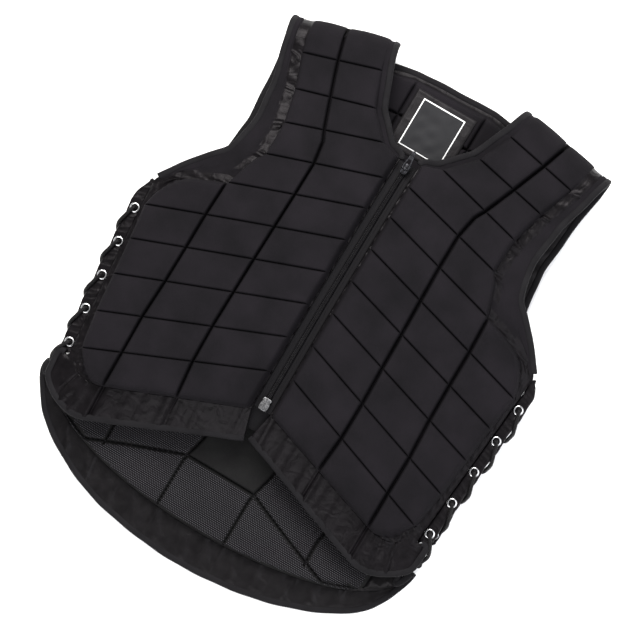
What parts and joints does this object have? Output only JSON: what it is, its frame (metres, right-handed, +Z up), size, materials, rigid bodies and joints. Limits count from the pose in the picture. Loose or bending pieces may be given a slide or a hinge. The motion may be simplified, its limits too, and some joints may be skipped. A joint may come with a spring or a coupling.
{
  "type": "equestrian body protector",
  "caption": "Padded riding vest of foam blocks, with a front zip, laced sides, open neck and armholes and a dropped tail, lying on its back.",
  "frame": {"origin": "on the floor under the middle of the vest, which lies on its back", "axes": "+Z up from the floor through the front, +Y towards the neck, +X towards the wearer's left side"},
  "size_m": [0.5148, 0.6566, 0.1008],
  "materials": {
    "block_cloth": "matt woven nylon over foam, near black",
    "gathered_nylon": "smooth nylon, near black, slightly shiny",
    "binding_tape": "woven tape, near black, satin",
    "lace_cord": "braided black cord",
    "label_cloth": "plain grey satin with a light border",
    "coil_plastic": "black nylon coil",
    "silver_metal": "bright nickel plate",
    "gunmetal": "dark plated zinc"
  },
  "bodies": {
    "vest": {"back_panel": "block_cloth", "front_panel_left": "block_cloth", "neck_binding_front_left": "binding_tape", "arm_binding_front_left": "binding_tape", "arm_binding_back_left": "binding_tape", "hem_binding_left": "binding_tape", "lacing_strip_front_left": "gathered_nylon", "eyelet_front_left_1": "silver_metal", "eyelet_front_left_2": "silver_metal", "eyelet_front_left_3": "silver_metal", "eyelet_front_left_4": "silver_metal", "eyelet_front_left_5": "silver_metal", "lacing_strip_back_left": "gathered_nylon", "eyelet_back_left_1": "silver_metal", "eyelet_back_left_2": "silver_metal", "eyelet_back_left_3": "silver_metal", "eyelet_back_left_4": "silver_metal", "eyelet_back_left_5": "silver_metal", "lace_left": "lace_cord", "lace_knot_left": "lace_cord", "lace_stop_left": "lace_cord", "zip_tape_left": "gathered_nylon", "front_panel_right": "block_cloth", "neck_binding_front_right": "binding_tape", "arm_binding_front_right": "binding_tape", "arm_binding_back_right": "binding_tape", "hem_binding_right": "binding_tape", "lacing_strip_front_right": "gathered_nylon", "eyelet_front_right_1": "silver_metal", "eyelet_front_right_2": "silver_metal", "eyelet_front_right_3": "silver_metal", "eyelet_front_right_4": "silver_metal", "eyelet_front_right_5": "silver_metal", "lacing_strip_back_right": "gathered_nylon", "eyelet_back_right_1": "silver_metal", "eyelet_back_right_2": "silver_metal", "eyelet_back_right_3": "silver_metal", "eyelet_back_right_4": "silver_metal", "eyelet_back_right_5": "silver_metal", "lace_right": "lace_cord", "lace_knot_right": "lace_cord", "lace_stop_right": "lace_cord", "zip_tape_right": "gathered_nylon", "neck_binding_back": "binding_tape", "tail_binding": "binding_tape", "neck_patch": "gathered_nylon", "neck_label": "label_cloth", "zip_coil": "coil_plastic", "zip_box": "silver_metal", "zip_guard": "gathered_nylon", "zip_slider": "gunmetal"},
    "zip_pull": {"zip_pull": "gunmetal"}
  },
  "joints": [
    {"name": "zip_pull_hinge", "type": "hinge", "parent": "vest", "child": "zip_pull", "pos_m": [0, 0.18982, 0.08045], "axis": [1, 0, 0], "range_deg": [0, 165]}
  ]
}
